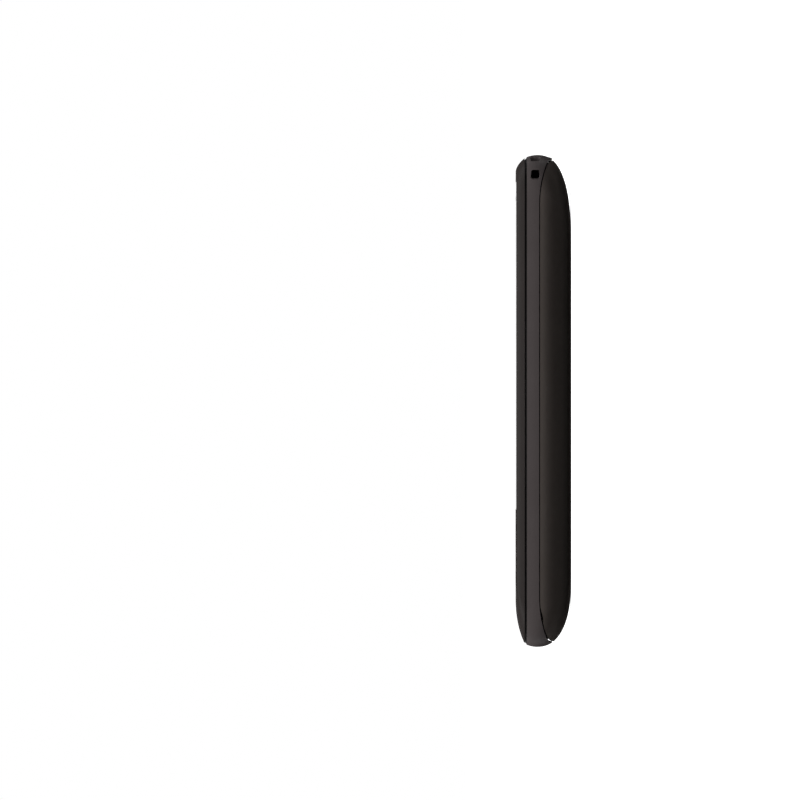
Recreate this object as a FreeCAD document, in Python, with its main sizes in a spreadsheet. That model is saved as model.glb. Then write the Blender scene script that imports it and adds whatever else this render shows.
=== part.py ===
"""Slider phone: a display half that slides along a main half with a number keypad under it.

The phone lies on its back. X runs across it, Y runs from the charging port (-Y) to the torch (+Y)
and Z runs from the rear cover up to the display. The origin is at the middle of the rear face.
Every size is a cell of the sheet; FORMULAS holds the heights and places worked out from them.
"""
import FreeCAD, Part
import math
import os
import re
import Sketcher

# ---------------------------------------------------------------- sizes, in millimetres
SIZES = {
    # Outer form of the whole phone.
    "phone_length": 120.0,
    "phone_width": 56.0,
    "body_height": 10.8,        # rear face to the top edge of the metal band
    "slide_gap": 0.55,          # dark gap between the two halves
    "front_thickness": 2.05,    # display half
    "widest_height": 8.28,      # height of the widest outline
    "corner_radius": 9.5,
    "rear_corner_radius": 8.0,
    # The rear curve: how far in from each edge the flat rear face begins, and its fullness.
    "rear_side_run": 11.5,
    "rear_top_run": 18.6,
    "rear_bottom_run": 14.4,
    "rear_side_power": 1.0,
    "rear_top_power": 1.235,
    "rear_bottom_power": 1.15,
    "rim_side_inset": 0.24,     # the band leans in towards its top edge
    "rim_end_inset": 0.50,
    # The edge of the display half: base, shoulder and flat face, with a long slope at the chin.
    "front_side_inset": 0.40,
    "front_top_inset": 0.75,
    "front_bottom_inset": 0.85,
    "front_radius": 9.2,
    "shoulder_height": 1.25,
    "shoulder_side_inset": 1.95,
    "shoulder_top_inset": 1.98,
    "shoulder_bottom_inset": 4.47,
    "shoulder_radius": 8.0,
    "face_side_inset": 4.15,
    "face_top_inset": 4.15,
    "face_bottom_inset": 12.2,
    "face_radius": 6.5,
    # The parting line between band and rear cover drops in a curve at both ends.
    "parting_height": 7.84,
    "parting_end_height": 4.55,
    "parting_end_inset": 1.15,
    "parting_curve_inset": 12.0,
    "parting_end_radius": 1.6,
    "parting_gap": 0.24,
    # Housing walls.
    "band_wall": 1.2,
    "cover_wall": 0.9,
    "chassis_inset": 1.8,
    "chassis_wall": 0.8,
    "chassis_corner_ease": 0.5,
    "skirt_bottom": 5.6,
    "floor_bottom": 6.3,
    "floor_thickness": 0.8,
    "ledge_bottom": 7.9,
    "ledge_thickness": 0.8,
    # Rear cover details.
    "hook_length": 9.0,
    "hook_height": 0.8,
    "hook_port_inset": 22.0,
    "hook_torch_inset": 30.0,
    "pry_start": 3.9,           # from the charging end
    "pry_length": 5.9,
    "pry_depth": 0.55,
    "grille_offset": 2.6,       # the slots lie towards the middle, clear of the rear curve
    "grille_slots": 5,
    "grille_pitch": 1.7,
    "grille_slot_length": 9.0,
    "grille_slot_width": 0.8,
    # Keypad deck.
    "deck_clearance": 0.15,
    "deck_rise": 0.42,          # a black rim on top of the band, nearly as high as the slide gap
    "deck_rim_inset": 0.20,
    "deck_thickness": 1.17,
    "rail_bed_depth": 1.22,
    "deck_beam_thickness": 2.02,
    "deck_edge_chamfer": 0.34,
    "boss_diameter": 3.4,
    "boss_inset": 4.9,
    "boss_port_inset": 35.2,
    "boss_gap": 0.1,            # to the corner block of the lanyard hole
    # Number keys.
    "keypad_side_margin": 2.61, # from the deck's edge to the outer keys
    "keypad_end_margin": 1.35,
    "key_gap": 1.0,
    "key_height": 6.4,
    "key_radius": 1.0,
    "key_corner_radius": 5.0,
    "key_clearance": 0.2,
    "key_recess": 0.22,
    "key_travel": 0.30,
    "key_rim": 0.35,
    "key_rim_thickness": 0.3,
    "key_chamfer": 0.2,
    "nub_width": 2.4,
    "nub_height": 0.15,
    "dome_height": 0.10,
    # Boards.
    "board_side_inset": 6.8,
    "board_port_inset": 4.8,
    "board_torch_inset": 6.0,
    "board_thickness": 0.8,
    "board_seat": 0.15,
    "keypad_board_thickness": 0.2,
    "can_height": 1.0,
    "torch_can_width": 30.0,
    "torch_can_length": 20.0,
    "torch_can_inset": 5.5,     # from the board's end
    "middle_can_width": 34.0,
    "middle_can_inset": 9.0,    # from the start of the carriage
    "middle_can_gap": 4.3,      # to the slot of the flat cable
    "microphone_side": 13.0,
    # Charging end.
    "port_height": 7.14,
    "port_width": 8.94,
    "port_thickness": 3.16,
    "port_depth": 7.0,
    "port_wall": 0.30,
    "port_clearance": 0.15,
    "port_recess": 0.45,
    "tongue_width": 6.65,
    "tongue_thickness": 0.7,
    "contact_spacing": 17.8,
    "contact_diameter": 1.87,
    "contact_length": 4.2,
    "contact_ring_diameter": 2.35,
    "contact_recess": 0.25,
    "contact_dome": 0.35,       # the pins' heads are domed
    "contact_clearance": 0.03,
    # Torch.
    "torch_side": 6.6,
    "torch_height": 7.2,
    "torch_diameter": 5.3,
    "torch_clearance": 0.12,
    "torch_lens_depth": 1.5,
    "torch_dome": 0.45,
    "torch_reflector_depth": 2.8,
    "torch_led_size": 2.0,
    # Lanyard hole in the corner beside the torch.
    "lanyard_side": 5.5,        # from the side face to the mouth on the end face
    "lanyard_end": 4.7,         # from the end face to the mouth on the side face
    "lanyard_height": 8.75,
    "lanyard_hole": 2.0,
    "lanyard_flare_depth": 1.9,
    "lanyard_flare_angle": 14.0,
    # Battery bay.
    "battery_side_inset": 8.5,
    "battery_port_inset": 25.0,
    "battery_torch_inset": 35.0,
    "battery_thickness": 4.6,
    "battery_bottom": 1.5,
    "terminal_gap": 0.3,
    "terminal_pitch": 3.6,
    # Camera, card holders, loudspeaker and vibration motor behind the chassis floor.
    "camera_inset": 24.0,
    "camera_size": 8.4,
    "camera_barrel": 6.4,
    "camera_opening": 6.0,
    "camera_window": 7.1,
    "camera_window_clearance": 0.05,
    "card_inset": 23.0,
    "card_length": 15.0,
    "sim_side_inset": 6.3,
    "sim_camera_gap": 0.5,
    "memory_side_inset": 8.0,
    "memory_camera_gap": 1.8,
    "loudspeaker_inset": 16.2,
    "loudspeaker_width": 15.0,
    "loudspeaker_length": 11.0,
    "motor_diameter": 8.0,
    "motor_gap": 3.0,
    # Slide module.
    "slide_travel": 36.0,
    "slide_sheet": 0.25,
    "rail_side_inset": 9.1,
    "rail_keypad_gap": 6.6,
    "rail_torch_inset": 3.4,
    "rail_lip": 1.9,
    "rail_clearance": 0.15,
    "rail_window_width": 20.0,
    "rail_window_length": 12.0,
    "rail_window_inset": 18.0,
    "carriage_edge_gap": 0.35,
    "carriage_leg_gap": 0.30,
    "runner_length": 4.0,
    "stop_thickness": 0.5,
    "stop_clearance": 0.10,
    "end_stop_length": 1.1,
    "detent_width": 3.0,
    "detent_leg_gap": 0.85,
    "detent_inset": 6.4,        # from the end of the carriage to the crest
    "detent_sheet": 0.12,
    "flex_width": 8.0,
    "flex_thickness": 0.12,
    "flex_slot_length": 2.6,
    "flex_slot_gap": 0.9,       # from the end of the carriage to the middle of the slot
    "flex_fold_inset": 3.95,    # from the start of the carriage to the outside of the fold
    "flex_return": 13.05,
    # Screws.
    "screw_head_diameter": 2.6,
    "screw_head_height": 0.25,
    "screw_diameter": 1.2,
    "screw_hole_clearance": 0.1,
    "rail_screw_inset": 7.9,
    "rail_screw_end": 6.0,
    "carriage_screw_shift": 0.3,    # inwards from midway between the flat cable and the detents
    "carriage_screw_end": 7.0,
    # Display half.
    "frame_lip": 1.3,
    "back_sheet": 0.4,
    "front_cavity_top": 1.30,   # above the underside of the display half
    "front_cavity_side": 4.6,
    "front_cavity_top_inset": 4.8,
    "front_cavity_bottom_inset": 13.2,
    "window_side_inset": 5.5,
    "window_port_inset": 33.5,
    "window_torch_inset": 6.5,
    "window_thickness": 0.5,
    "window_radius": 2.2,
    "window_clearance": 0.1,
    "window_ledge": 1.1,
    "panel_side_inset": 0.2,    # within the window
    "panel_low_inset": 2.5,
    "panel_high_inset": 15.5,
    "panel_thickness": 0.75,
    "earpiece_length": 11.0,
    "earpiece_width": 1.3,
    "earpiece_inset": 4.0,      # from the window's upper edge
    "receiver_length": 6.0,
    # Front keys.
    "rocker_size": 15.0,
    "rocker_radius": 4.5,
    "rocker_port_inset": 22.4,
    "select_size": 7.2,
    "select_radius": 2.2,
    "select_clearance": 0.2,
    "front_key_gap": 1.4,
    "soft_key_height": 6.8,
    "soft_key_side_inset": 6.5,
    "soft_key_port_inset": 26.8,
    "call_key_height": 7.0,
    "call_key_side_inset": 7.9,
    "call_key_port_inset": 18.3,
    "front_key_radius": 1.8,
    "front_key_recess": 0.05,
    "front_key_rim": 0.5,
    "front_key_travel": 0.2,
    "rocker_tilt_gap": 0.2,
    "front_board_side_inset": 5.5,
    "front_board_length": 18.4,
    "front_domes_inset": 5.0,
    "front_domes_length": 13.0,
}

# ---------------------------------------------------------------- formulas, as sheet expressions
FORMULAS = {
    "half_length": "phone_length / 2",
    "half_width": "phone_width / 2",
    "front_base": "body_height + slide_gap",
    "front_face": "front_base + front_thickness",
    "floor_top": "floor_bottom + floor_thickness",
    "ledge_top": "ledge_bottom + ledge_thickness",
    "deck_top": "body_height + deck_rise",
    "deck_bottom": "deck_top - deck_thickness",
    "deck_beam_bottom": "deck_top - deck_beam_thickness",
    "deck_side_inset": "rim_side_inset + band_wall + deck_clearance",
    "deck_end_inset": "rim_end_inset + band_wall + deck_clearance",
    "deck_radius": "corner_radius - band_wall - deck_clearance",
    "boss_side": "half_width - boss_inset",
    "chassis_radius": "corner_radius - chassis_inset + chassis_corner_ease",
    "lanyard_block": "corner_radius - band_wall / 2 + 0.2",
    "boss_torch_inset": "band_wall / 2 + lanyard_block + boss_gap + boss_diameter / 2",
    "board_bottom": "floor_top + board_seat",
    "board_top": "board_bottom + board_thickness",
    "board_width": "phone_width - 2 * board_side_inset",
    "board_bottom_end": "-(half_length - board_port_inset)",
    "board_top_end": "half_length - board_torch_inset",
    "key_width": "(phone_width - 2 * (deck_side_inset + keypad_side_margin + key_gap)) / 3",
    "key_columns_pitch": "key_width + key_gap",
    "key_rows_pitch": "key_height + key_gap",
    "keypad_bottom_row": "-(half_length - deck_end_inset - keypad_end_margin - key_height / 2)",
    "keypad_top_row": "keypad_bottom_row + 3 * key_rows_pitch",
    "key_top": "deck_top - key_recess",
    "key_rim_top": "deck_bottom - deck_clearance",
    "key_rim_bottom": "key_rim_top - key_rim_thickness",
    "nub_bottom": "key_rim_bottom - nub_height",
    "dome_top": "nub_bottom - key_travel - 0.05",
    "keypad_board_top": "dome_top - dome_height",
    "keypad_board_bottom": "keypad_board_top - keypad_board_thickness",
    "keypad_width": "2 * key_columns_pitch + key_width",
    "keypad_length": "3 * key_rows_pitch + key_height",
    "keypad_centre": "keypad_top_row - 1.5 * key_rows_pitch",
    "rail_bottom": "deck_top - rail_bed_depth",
    "rail_floor": "rail_bottom + slide_sheet",
    "flange_bottom": "rail_floor + rail_clearance",
    "flange_top": "flange_bottom + slide_sheet",
    "lip_bottom": "flange_top + rail_clearance",
    "lip_top": "lip_bottom + slide_sheet",
    "web_bottom": "front_base - slide_sheet",
    "rail_width": "phone_width - 2 * rail_side_inset",
    "rail_start": "keypad_top_row + key_height / 2 + rail_keypad_gap",
    "rail_end": "half_length - rail_torch_inset",
    "rail_length": "rail_end - rail_start",
    "rail_inner": "rail_width / 2 - slide_sheet",
    "lip_edge": "rail_width / 2 - rail_lip",
    "leg_outer": "lip_edge - carriage_leg_gap",
    "flange_edge": "rail_inner - carriage_edge_gap",
    "carriage_start": "rail_start + stop_thickness + stop_clearance",
    "carriage_end": "rail_end - end_stop_length - stop_clearance - slide_travel",
    "detent_centre": "carriage_end - detent_inset",
    "detent_outer": "leg_outer - slide_sheet - detent_leg_gap",
    "carriage_screw_side": "(flex_width / 2 + detent_outer - detent_width) / 2 - carriage_screw_shift",
    "flex_slot": "carriage_end + flex_slot_gap",
    "flex_fold": "carriage_start + flex_fold_inset",
    "port_front": "-(half_length - port_recess)",
    "port_back": "port_front + port_depth",
    "contact_front": "-(half_length - contact_recess)",
    "contact_back": "contact_front + contact_length",
    "lens_front": "half_length - 0.2",
    "lens_back": "lens_front - torch_lens_depth",
    "reflector_back": "lens_back - torch_reflector_depth",
    "led_back": "reflector_back - 0.6",
    "battery_width": "phone_width - 2 * battery_side_inset",
    "battery_end": "-(half_length - battery_port_inset)",
    "battery_top_end": "half_length - battery_torch_inset",
    "camera_place": "half_length - camera_inset",
    "card_place": "half_length - card_inset",
    "sim_width": "half_width - sim_side_inset - camera_size / 2 - sim_camera_gap",
    "memory_width": "half_width - memory_side_inset - camera_size / 2 - memory_camera_gap",
    "loudspeaker_place": "-(half_length - loudspeaker_inset)",
    "motor_side": "loudspeaker_width / 2 + motor_gap + motor_diameter / 2",
    "back_sheet_top": "front_base + back_sheet",
    "cavity_top": "front_base + front_cavity_top",
    "window_bottom": "front_face - window_thickness",
    "window_low": "-(half_length - window_port_inset)",
    "window_high": "half_length - window_torch_inset",
    "window_width": "phone_width - 2 * window_side_inset",
    "window_length": "window_high - window_low",
    "window_centre": "(window_high + window_low) / 2",
    "earpiece_centre": "window_high - earpiece_inset",
    "panel_bottom": "back_sheet_top + 0.1",
    "panel_top": "panel_bottom + panel_thickness",
    "front_board_bottom": "back_sheet_top + 0.05",
    "front_board_top": "front_board_bottom + 0.15",
    "front_dome_top": "front_board_top + dome_height",
    "front_nub_bottom": "front_dome_top + front_key_travel + 0.02",
    "front_key_top": "front_face - front_key_recess",
    "rocker_centre": "-(half_length - rocker_port_inset)",
    "rocker_hole": "select_size + 2 * select_clearance",
    "front_key_inner": "rocker_size / 2 + front_key_gap",
    "soft_key_centre": "-(half_length - soft_key_port_inset)",
    "soft_key_width": "half_width - soft_key_side_inset - front_key_inner",
    "soft_key_side": "front_key_inner + soft_key_width / 2",
    "call_key_centre": "-(half_length - call_key_port_inset)",
    "call_key_width": "half_width - call_key_side_inset - front_key_inner",
    "call_key_side": "front_key_inner + call_key_width / 2",
}

REAR_ANGLES = (90, 80, 68, 55, 42, 28, 14, 0)
BAND_ANGLES = (42, 28, 14, 0)
KEY_NAMES = ("key_1", "key_2", "key_3", "key_4", "key_5", "key_6",
             "key_7", "key_8", "key_9", "key_star", "key_0", "key_hash")
WORD = re.compile(r"[a-z_][a-z_0-9]*")

doc = FreeCAD.newDocument("SliderPhone")
sheet = doc.addObject("Spreadsheet::Sheet", "Sizes")
for row, (size_name, size) in enumerate(SIZES.items(), start=1):
    sheet.set(f"A{row}", size_name)
    sheet.set(f"B{row}", str(size))
    sheet.setAlias(f"B{row}", size_name)
doc.recompute()
parts = []


# ---------------------------------------------------------------- expressions
def expression(text):
    """The text as a document expression: a formula is written out, a size gets its sheet's name."""
    def full_name(match):
        word = match.group(0)
        if word in FORMULAS:
            return f"({expression(FORMULAS[word])})"
        return f"Sizes.{word}" if word in SIZES else word
    return WORD.sub(full_name, text)


def number(text):
    """The value of such a text now."""
    return float(sheet.evalExpression(expression(text)))


# ---------------------------------------------------------------- sketches
def new_body(name):
    body = doc.addObject("PartDesign::Body", name)
    body.Label = name
    body.AllowCompound = True
    parts.append(body)
    return body


def new_sketch(body, plane, centre=("0", "0"), level="0"):
    """A sketch on a plane of the body, moved to a centre in that plane and lifted to a level."""
    sketch = body.newObject("Sketcher::SketchObject", "Sketch")
    support = next(item for item in body.Origin.OriginFeatures if item.Role == f"{plane}_Plane")
    sketch.AttachmentSupport = [(support, "")]
    sketch.MapMode = "FlatFace"
    height = f"-({level})" if plane == "XZ" else level
    for axis, text in zip("xyz", (*centre, height)):
        sketch.setExpression(f".AttachmentOffset.Base.{axis}", expression(text))
    return sketch


def limit(sketch, kind, *geometry, value):
    """A dimension bound to the sheet."""
    index = sketch.addConstraint(Sketcher.Constraint(kind, *geometry, number(value)))
    sketch.setExpression(f"Constraints[{index}]", expression(value))


def fix_point(sketch, geometry, end, point):
    """Holds one end of a curve at a point given by two expressions."""
    for kind, axis, value in zip(("DistanceX", "DistanceY"), (-2, -1), point):
        distance = number(value)
        if abs(distance) < 1e-9:
            sketch.addConstraint(Sketcher.Constraint("PointOnObject", geometry, end, axis))
        elif distance > 0:
            limit(sketch, kind, -1, 1, geometry, end, value=value)
        else:
            limit(sketch, kind, geometry, end, -1, 1, value=f"-({value})")


def polygon(*points):
    """A drawing of straight edges through the points."""
    def draw(sketch):
        corners = [FreeCAD.Vector(number(x), number(y), 0) for x, y in points]
        edges = [Part.LineSegment(a, b) for a, b in zip(corners, corners[1:] + corners[:1])]
        first = sketch.addGeometry(edges, False)[0]
        for i in range(len(points)):
            after = first + (i + 1) % len(points)
            sketch.addConstraint(Sketcher.Constraint("Coincident", first + i, 2, after, 1))
            fix_point(sketch, first + i, 1, points[i])
    return draw


def circle(diameter):
    """A drawing of a circle about the sketch's centre."""
    def draw(sketch):
        shape = Part.Circle(FreeCAD.Vector(), FreeCAD.Vector(0, 0, 1), number(diameter) / 2)
        index = sketch.addGeometry(shape, False)
        sketch.addConstraint(Sketcher.Constraint("Coincident", index, 3, -1, 1))
        limit(sketch, "Diameter", index, value=diameter)
    return draw


def rounded(width, height, *radii):
    """A drawing of a rectangle about the sketch's centre, with one radius or four.

    Four radii go round from the lower left corner: lower left, lower right, upper right, upper left.
    """
    corners = radii if len(radii) == 4 else radii * 4

    def draw(sketch):
        half_x = number(width) / 2
        half_y = number(height) / 2
        bends = [number(radius) for radius in corners]
        signs = ((-1, -1), (1, -1), (1, 1), (-1, 1))
        up = FreeCAD.Vector(0, 0, 1)
        centres = [FreeCAD.Vector(sx * (half_x - r), sy * (half_y - r), 0)
                   for (sx, sy), r in zip(signs, bends)]
        starts = [math.pi + i * math.pi / 2 for i in range(4)]
        arcs = [Part.ArcOfCircle(Part.Circle(c, up, r), start, start + math.pi / 2)
                for c, r, start in zip(centres, bends, starts)]
        sides = [Part.LineSegment(arcs[i].EndPoint, arcs[(i + 1) % 4].StartPoint) for i in range(4)]
        outline = [curve for pair in zip(arcs, sides) for curve in pair]
        first = sketch.addGeometry(outline, False)[0]
        for i in range(8):
            after = first + (i + 1) % 8
            sketch.addConstraint(Sketcher.Constraint("Tangent", first + i, 2, after, 1))
        for side, direction in ((1, "Horizontal"), (3, "Vertical"), (5, "Horizontal"), (7, "Vertical")):
            sketch.addConstraint(Sketcher.Constraint(direction, first + side))
        for i, radius in enumerate(corners):
            limit(sketch, "Radius", first + 2 * i, value=radius)
        limit(sketch, "DistanceY", first + 1, 1, -1, 1, value=f"({height}) / 2")
        limit(sketch, "DistanceX", -1, 1, first + 3, 1, value=f"({width}) / 2")
        limit(sketch, "DistanceY", -1, 1, first + 5, 1, value=f"({height}) / 2")
        limit(sketch, "DistanceX", first + 7, 1, -1, 1, value=f"({width}) / 2")
    return draw


def block(width, height):
    """A drawing of a plain rectangle about the sketch's centre."""
    x = f"({width}) / 2"
    y = f"({height}) / 2"
    return polygon((f"-{x}", f"-{y}"), (x, f"-{y}"), (x, y), (f"-{x}", y))


# ---------------------------------------------------------------- features
def pad(body, draw, start, end, plane="XY", centre=("0", "0")):
    """Adds the drawing as a prism from start to end along the plane's own axis."""
    sketch = new_sketch(body, plane, centre, end if plane == "XZ" else start)
    draw(sketch)
    feature = body.newObject("PartDesign::Pad", "Pad")
    feature.Profile = sketch
    feature.setExpression("Length", expression(f"({end}) - ({start})"))
    doc.recompute()
    return feature


def pocket(body, draw, start, end, plane="XY", centre=("0", "0")):
    """Cuts the drawing as a prism from start to end along the plane's own axis."""
    volume = body.Shape.Volume
    sketch = new_sketch(body, plane, centre, start if plane == "XZ" else end)
    draw(sketch)
    feature = body.newObject("PartDesign::Pocket", "Pocket")
    feature.Profile = sketch
    feature.setExpression("Length", expression(f"({end}) - ({start})"))
    doc.recompute()
    if body.Shape.Volume >= volume:
        raise RuntimeError(f"a pocket in {body.Label} cuts nothing")
    return feature


def flare(body, draw, start, end, plane, centre):
    """Widens a mouth outwards: the drawing at the start grows by the flare angle to the end."""
    volume = body.Shape.Volume
    sketch = new_sketch(body, plane, centre, start)
    draw(sketch)
    feature = body.newObject("PartDesign::Pocket", "Flare")
    feature.Profile = sketch
    feature.Reversed = plane == "YZ"
    feature.setExpression("Length", expression(f"({end}) - ({start})"))
    feature.setExpression("TaperAngle", expression("lanyard_flare_angle"))
    doc.recompute()
    if body.Shape.Volume >= volume:
        raise RuntimeError(f"a flare in {body.Label} cuts nothing")
    return feature


def revolve(body, draw, centre, level):
    """Turns a half profile, drawn on the YZ plane, about the sketch's own X axis."""
    sketch = new_sketch(body, "YZ", centre, level)
    draw(sketch)
    feature = body.newObject("PartDesign::Revolution", "Revolution")
    feature.Profile = sketch
    feature.ReferenceAxis = (sketch, ["H_Axis"])
    feature.Angle = 360
    doc.recompute()
    return feature


def loft(body, kind, sections):
    """A smooth loft through outline sections: (level, side, top, bottom insets, radius) each."""
    sketches = []
    for level, side, top, bottom, radius in sections:
        centre = ("0", f"(({bottom}) - ({top})) / 2")
        sketch = new_sketch(body, "XY", centre, level)
        draw = rounded(f"phone_width - 2 * ({side})", f"phone_length - ({top}) - ({bottom})", radius)
        draw(sketch)
        sketches.append(sketch)
    doc.recompute()
    feature = body.newObject(f"PartDesign::{kind}Loft", "Loft")
    feature.Profile = sketches[0]
    feature.Sections = sketches[1:]
    doc.recompute()
    return feature


def outline(side, top, bottom, radius):
    """The phone's plan outline drawn in by its insets, with the centre that it needs."""
    draw = rounded(f"phone_width - 2 * ({side})", f"phone_length - ({top}) - ({bottom})", radius)
    return {"draw": draw, "centre": ("0", f"(({bottom}) - ({top})) / 2")}


def chamfer_top(body, size):
    """Chamfers the edges round the body's highest faces."""
    feature = body.Tip
    heights = [face.BoundBox.ZMin for face in feature.Shape.Faces]
    highest = [f"Face{i}" for i, height in enumerate(heights, start=1) if height > max(heights) - 1e-6]
    edge = body.newObject("PartDesign::Chamfer", "Chamfer")
    edge.Base = (feature, highest)
    edge.setExpression("Size", expression(size))
    doc.recompute()
    return edge


# ---------------------------------------------------------------- the phone's own forms
def rear_sections(wall, angles):
    """Sections of the rear curve from its flat up to the widest outline, drawn in by a wall."""
    sections = []
    for angle in angles:
        level = f"widest_height - (widest_height - ({wall})) * sin({angle})"
        insets = [f"({wall}) + ({run} - ({wall})) * (1 - cos({angle})) ^ {power}"
                  for run, power in (("rear_side_run", "rear_side_power"),
                                     ("rear_top_run", "rear_top_power"),
                                     ("rear_bottom_run", "rear_bottom_power"))]
        radius = f"corner_radius - ({wall}) - (corner_radius - rear_corner_radius) * (1 - cos({angle}))"
        sections.append((level, *insets, radius))
    return sections


def band_sections(wall, top):
    """Two more sections, halfway and at the top, where the band leans in."""
    sections = []
    for share in ("0.5", "1"):
        level = f"widest_height + ({top} - widest_height) * {share}"
        side = f"({wall}) + rim_side_inset * {share} ^ 2"
        end = f"({wall}) + rim_end_inset * {share} ^ 2"
        sections.append((level, side, end, end, f"corner_radius - ({wall})"))
    return sections


def parting(gap, beyond):
    """The parting line seen from the side, closed off at a level beyond it.

    A long straight, then at each end a wide arc and a tight one that turns it down to the end
    height. The gap draws the line in and down, which makes the hairline slot along it.
    """
    def draw(sketch):
        height = f"parting_height - ({gap})"
        low = f"parting_end_height - ({gap})"
        end = f"half_length - parting_end_inset - ({gap})"
        start = "half_length - parting_curve_inset"
        drop = number(height) - number(low)
        run = number(end) - number(start)
        tight = number("parting_end_radius")
        wide = (run ** 2 + drop ** 2 - 2 * run * tight) / (2 * (drop - tight))
        up = FreeCAD.Vector(0, 0, 1)
        edge = number("half_length") + 2
        curves = []
        for sign in (1, -1):
            wide_centre = FreeCAD.Vector(sign * number(start), number(height) - wide, 0)
            tight_centre = FreeCAD.Vector(sign * (number(end) - tight), number(low), 0)
            lean = math.atan2(tight_centre.y - wide_centre.y, abs(tight_centre.x - wide_centre.x))
            turn = (lean, math.pi / 2) if sign > 0 else (math.pi / 2, math.pi - lean)
            last = (0, lean) if sign > 0 else (math.pi - lean, math.pi)
            curves.append(Part.ArcOfCircle(Part.Circle(wide_centre, up, wide), *turn))
            curves.append(Part.ArcOfCircle(Part.Circle(tight_centre, up, tight), *last))
        corners = [(edge, number(low)), (edge, number(beyond)), (-edge, number(beyond)),
                   (-edge, number(low))]
        points = [FreeCAD.Vector(x, y, 0) for x, y in corners]
        right_end = FreeCAD.Vector(number(end), number(low), 0)
        left_end = FreeCAD.Vector(-number(end), number(low), 0)
        lines = [Part.LineSegment(FreeCAD.Vector(-number(start), number(height), 0),
                                  FreeCAD.Vector(number(start), number(height), 0)),
                 Part.LineSegment(right_end, points[0]),
                 Part.LineSegment(points[0], points[1]),
                 Part.LineSegment(points[1], points[2]),
                 Part.LineSegment(points[2], points[3]),
                 Part.LineSegment(points[3], left_end)]
        sketch.addGeometry(curves + lines, False)
        wide_right, tight_right, wide_left, tight_left = range(4)
        straight, right, right_side, far, left_side, left = range(4, 10)
        bind = Sketcher.Constraint
        sketch.addConstraint([
            bind("Tangent", straight, 2, wide_right, 2), bind("Tangent", wide_right, 1, tight_right, 2),
            bind("Tangent", straight, 1, wide_left, 1), bind("Tangent", wide_left, 2, tight_left, 1),
            bind("Coincident", tight_right, 1, right, 1), bind("Coincident", right, 2, right_side, 1),
            bind("Coincident", right_side, 2, far, 1), bind("Coincident", far, 2, left_side, 1),
            bind("Coincident", left_side, 2, left, 1), bind("Coincident", left, 2, tight_left, 2),
            bind("Horizontal", tight_right, 3, tight_right, 1),
            bind("Horizontal", tight_left, 3, tight_left, 2),
            bind("Horizontal", straight), bind("Horizontal", right), bind("Horizontal", left),
            bind("Vertical", right_side), bind("Vertical", left_side)])
        fix_point(sketch, straight, 2, (start, height))
        limit(sketch, "DistanceX", straight, 1, -1, 1, value=start)
        fix_point(sketch, right, 1, (end, low))
        limit(sketch, "DistanceX", left, 2, -1, 1, value=end)
        limit(sketch, "Radius", tight_right, value="parting_end_radius")
        limit(sketch, "Radius", tight_left, value="parting_end_radius")
        limit(sketch, "DistanceX", -1, 1, far, 1, value="half_length + 2")
        limit(sketch, "DistanceX", far, 2, -1, 1, value="half_length + 2")
        beyond_kind = (-1, 1, far, 1) if number(beyond) > 0 else (far, 1, -1, 1)
        limit(sketch, "DistanceY", *beyond_kind, value=beyond if number(beyond) > 0 else f"-({beyond})")
    return draw


def screws(name, places, head, shank):
    """Pan-head screws as one node: head and shank are (start, end) heights."""
    body = new_body(name)
    for place in places:
        pad(body, circle("screw_head_diameter"), *head, centre=place)
        pad(body, circle("screw_diameter"), *shank, centre=place)
    return body


def screw_holes(body, places, start, end):
    for place in places:
        pocket(body, circle("screw_diameter + 2 * screw_hole_clearance"), start, end, centre=place)


def mirrored_places(side, *heights):
    """Places at both sides, for each place along the length."""
    return [(x, y) for y in heights for x in (side, f"-({side})")]


CHASSIS_SCREWS = mirrored_places("boss_side", "-(half_length - boss_port_inset)",
                                 "half_length - boss_torch_inset")
RAIL_SCREWS = mirrored_places("rail_width / 2 - rail_screw_inset", "rail_start + rail_screw_end",
                              "rail_end - rail_screw_end")
CARRIAGE_SCREWS = mirrored_places("carriage_screw_side", "carriage_start + carriage_screw_end",
                                  "carriage_end - carriage_screw_end")
LANYARD = ("half_width - lanyard_side", "half_length - lanyard_end")


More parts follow.
